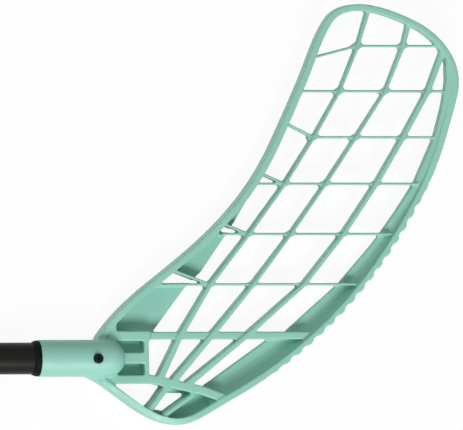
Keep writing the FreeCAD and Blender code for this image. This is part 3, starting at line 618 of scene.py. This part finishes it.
def slope_columns(section):
    """Columns of what the slope round the heel takes off the rim, from its inner edge outwards."""
    outer, inner, drop = (Vector(section[0]) * MM, Vector(section[1]) * MM, section[2] * MM)
    reach = 1 + HEEL_SLOPE_OVERRUN / (outer - inner).length
    columns = []
    for share in (0, reach):
        along, across = inner.lerp(outer, share)
        top = hook_height(across, along, RIM_TOP)
        columns.append(column(across, along, top - drop * share, top + HEEL_SLOPE_OVERRUN))
    return columns


def blocks_through(sections):
    """Blocks between neighbouring columns of neighbouring sections, each the hull of its corners."""
    blocks = []
    for first, second in zip(sections, sections[1:]):
        for number in range(len(first) - 1):
            corners = first[number] + first[number + 1] + second[number] + second[number + 1]
            block = draw_points("rim_block", corners)
            bpy.ops.mesh.select_all(action="SELECT")
            bpy.ops.mesh.convex_hull()
            settle(block)
            blocks.append(block)
    return blocks


def make_blade(material):
    """The blade, with the soft edges of a moulding: the CAD shape remeshed finely and eased."""
    blocks = blocks_through([ledge_columns(section) for section in LEDGE_SECTIONS])
    for edge in FADED_EDGES:
        blocks += blocks_through([edge_columns(place) for place in edge])
    piece = copy_of_node("blade", "blade_moulding")
    # What the slope takes off is one closed mesh, because blocks that touch don't cut cleanly
    wedge, *others = blocks_through([slope_columns(section) for section in HEEL_SLOPE_SECTIONS])
    join_to(wedge, others)
    remesh(wedge, SLOPE_VOXEL)
    combine(piece, wedge, "DIFFERENCE")
    join_to(piece, blocks)
    remesh(piece, BLADE_VOXEL)
    apply_modifier(piece, "DECIMATE", ratio=BLADE_KEPT_FACES)
    finish_piece(piece, "blade", material, BLADE_SMOOTH_UP_TO)


# The other pieces

def make_shaft(material):
    """The tube: even under the grip, then tapered, and drilled for the screw."""
    low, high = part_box("shaft")
    piece = turned("shaft_tube", [
        (low.x, TUBE_RADIUS - TUBE_WALL),
        (low.x, TUBE_RADIUS),
        (TAPER_START, TUBE_RADIUS),
        (TAPER_END, TIP_RADIUS),
        (high.x, TIP_RADIUS),
        (high.x, TIP_RADIUS - TUBE_WALL),
        (TAPER_END, TIP_RADIUS - TUBE_WALL),
        (TAPER_START, TUBE_RADIUS - TUBE_WALL),
        (low.x, TUBE_RADIUS - TUBE_WALL),
    ])
    soften(piece, TUBE_ROUNDING)
    drill_for_screw(piece)
    finish_piece(piece, "shaft", material)


def make_neck_sleeve(material):
    """The sleeve in the socket, with the collar that shows at the mouth."""
    low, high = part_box("neck_sleeve")
    inside = TIP_RADIUS + FIT_GAP
    outside = inside + SLEEVE_WALL
    start = low.x + COLLAR_SHORTER
    piece = turned("neck_sleeve_collar", [
        (start, inside),
        (start, outside),
        (start + COLLAR_LEAD, high.z),
        (MOUTH, high.z),
        (MOUTH, outside),
        (high.x, outside),
        (high.x, inside),
        (start, inside),
    ])
    soften(piece, COLLAR_ROUNDING)
    drill_for_screw(piece)
    finish_piece(piece, "neck_sleeve", material)


def recess_cutter(name, degrees):
    """One slot of the screw's cross recess, narrower at its floor."""
    deselect()
    bpy.ops.mesh.primitive_cube_add(size=1, location=(SCREW_X, 0, SCREW_HIGH.z),
                                    rotation=(0, 0, math.radians(degrees)),
                                    scale=(RECESS_LENGTH, RECESS_WIDTH, 2 * RECESS_DEPTH))
    slot = new_piece(name)
    edit_all(slot)
    bpy.ops.mesh.select_all(action="DESELECT")
    bpy.ops.object.mode_set(mode="OBJECT")
    for vertex in slot.data.vertices:
        vertex.select = vertex.co.z < 0
    bpy.ops.object.mode_set(mode="EDIT")
    bpy.ops.transform.resize(value=(RECESS_FLOOR_SHARE, RECESS_FLOOR_SHARE, 1))
    bpy.ops.object.mode_set(mode="OBJECT")
    return slot


def make_screw(material):
    """Pan-head screw with a cross recess."""
    radius = SCREW_HIGH.x - SCREW_X
    seat = SCREW_HIGH.z - SCREW_HEAD_HEIGHT
    head_edge = (SCREW_X + radius - SCREW_HEAD_ROUNDING, SCREW_HIGH.z - SCREW_HEAD_ROUNDING)
    crown = quarter_round(head_edge, SCREW_HEAD_ROUNDING, 90)[::-1]
    piece = turned("blade_screw_pan_head", [
        (SCREW_X, SCREW_LOW.z),
        (SCREW_X + SCREW_RADIUS, SCREW_LOW.z + SCREW_POINT),
        (SCREW_X + SCREW_RADIUS, seat),
        (SCREW_X + radius, seat),
        *crown,
        (SCREW_X, SCREW_HIGH.z),
    ], centre=(SCREW_X, 0, 0), axis=(0, 0, 1), segments=SCREW_SEGMENTS)
    for name, degrees in RECESS_SLOTS:
        combine(piece, recess_cutter(name, degrees), "DIFFERENCE")
    finish_piece(piece, "blade_screw", material)


def make_end_cap(material):
    """Push-in cap: a flange with a rounded edge, and a hollow stem with crush ribs in the tube."""
    low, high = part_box("end_cap")
    bore = TUBE_RADIUS - TUBE_WALL - FIT_GAP
    stem = bore - CAP_RIB_HEIGHT
    flange_edge = (low.x + CAP_EDGE_RADIUS, high.z - CAP_EDGE_RADIUS)
    piece = turned("end_cap_flange", [
        (low.x, 0),
        *quarter_round(flange_edge, CAP_EDGE_RADIUS, 180),
        (CAP_FLANGE, high.z),
        (CAP_FLANGE, stem),
        (high.x, stem),
        (high.x, stem - CAP_STEM_WALL),
        (CAP_FLANGE, stem - CAP_STEM_WALL),
        (CAP_FLANGE, 0),
    ])
    soften(piece, CAP_ROUNDING)
    # The ribs start inside the flange and end short of the stem's end, so that no faces share a plane
    rib_centre = ((CAP_FLANGE + high.x) / 2 - CAP_RIB_SINK, 0, stem)
    rib_size = (high.x - CAP_FLANGE, CAP_RIB_WIDTH, 2 * CAP_RIB_HEIGHT)
    for number in range(CAP_RIB_COUNT):
        deselect()
        bpy.ops.mesh.primitive_cube_add(size=1, location=rib_centre, scale=rib_size)
        rib = new_piece("crush_rib")
        soften(rib, CAP_RIB_ROUNDING)
        edit_all(rib)
        bpy.ops.transform.rotate(value=2 * math.pi * number / CAP_RIB_COUNT, orient_axis="X",
                                 center_override=(0, 0, 0))
        settle(rib)
        combine(piece, rib, "UNION")
    finish_piece(piece, "end_cap", material)


def keep_between(piece, start, end):
    """Cuts a piece off square at two places along the shaft, and closes it there."""
    edit_all(piece)
    bpy.ops.mesh.bisect(plane_co=(start, 0, 0), plane_no=(1, 0, 0), use_fill=True, clear_inner=True,
                        threshold=MERGE_DISTANCE)
    bpy.ops.mesh.select_all(action="SELECT")
    bpy.ops.mesh.bisect(plane_co=(end, 0, 0), plane_no=(1, 0, 0), use_fill=True, clear_outer=True,
                        threshold=MERGE_DISTANCE)
    bpy.ops.object.mode_set(mode="OBJECT")


def make_grip(material):
    """Tape wound up the shaft: one turn's section with rounded edges, screwed along it and bored."""
    low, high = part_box("grip_tape")
    length = high.x - low.x
    first = low.x + TOP_SEAM_OFFSET - GRIP_LEAD_TURNS * GRIP_PITCH
    rising, falling = [], []
    for step in range(SEAM_STEPS + 1):
        angle = math.radians(90 * step / SEAM_STEPS)
        inset = SEAM_HALF_WIDTH * (1 - math.cos(angle))
        radius = high.z - SEAM_DEPTH * (1 - math.sin(angle))
        rising.append((first + inset, radius))
        falling.append((first + GRIP_PITCH - inset, radius))
    piece = draw_points("grip_tape_wound", in_profile(rising + falling[::-1]))
    turns = math.ceil(length / GRIP_PITCH) + GRIP_SPARE_TURNS
    apply_modifier(piece, "SCREW", axis="X", angle=2 * math.pi, screw_offset=GRIP_PITCH,
                   iterations=turns, steps=GRIP_STEPS, render_steps=GRIP_STEPS)
    settle(piece)
    keep_between(piece, low.x, high.x)
    settle(piece)
    deselect()
    bpy.ops.mesh.primitive_cylinder_add(vertices=ROUND_SEGMENTS, radius=TUBE_RADIUS + FIT_GAP,
                                        depth=2 * length, location=((low.x + high.x) / 2, 0, 0),
                                        rotation=(0, math.pi / 2, 0))
    combine(piece, new_piece("grip_bore"), "DIFFERENCE")
    finish_piece(piece, "grip_tape", material, GRIP_SMOOTH_UP_TO)


def make_finishing_tape(material):
    """The band that holds the grip's lower end: it steps down from the grip to the shaft."""
    low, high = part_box("grip_finishing_tape")
    grip_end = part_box("grip_tape")[1].x
    inside = TUBE_RADIUS + FIT_GAP
    piece = turned("grip_finishing_band", [
        (low.x, high.z - BAND_THICKNESS),
        (low.x, high.z),
        (grip_end + BAND_THICKNESS, high.z),
        (grip_end + BAND_SLOPE + BAND_THICKNESS, inside + BAND_THICKNESS),
        (high.x, inside + BAND_THICKNESS),
        (high.x, inside),
        (grip_end + BAND_SLOPE, inside),
        (grip_end + FIT_GAP, high.z - BAND_THICKNESS),
        (low.x, high.z - BAND_THICKNESS),
    ])
    soften(piece, BAND_ROUNDING)
    finish_piece(piece, "grip_finishing_tape", material)


def dress_tip_plug(material):
    """The plug inside the tube's tip keeps its CAD shape."""
    plug = nodes["shaft_tip_plug"]
    plug.data.materials.clear()
    plug.data.materials.append(material)


make_camera()
make_studio()
sleeve_nylon = pebbled_plastic("glass_filled_nylon_sleeve", ior=1.53, deep="#07100c", worn="#0d1410",
                               roughness=0.5, gloss=0.05)
cap_rubber = pebbled_plastic("moulded_rubber_cap", ior=1.52, deep="#141414", worn="#1f1f1e",
                             roughness=0.68, gloss=0.3)
make_blade(moulded_polyethylene())
make_shaft(lacquered_composite())
make_neck_sleeve(sleeve_nylon)
make_screw(blackened_steel())
make_end_cap(cap_rubber)
make_grip(perforated_foam_tape())
make_finishing_tape(stretched_vinyl())
dress_tip_plug(sleeve_nylon)
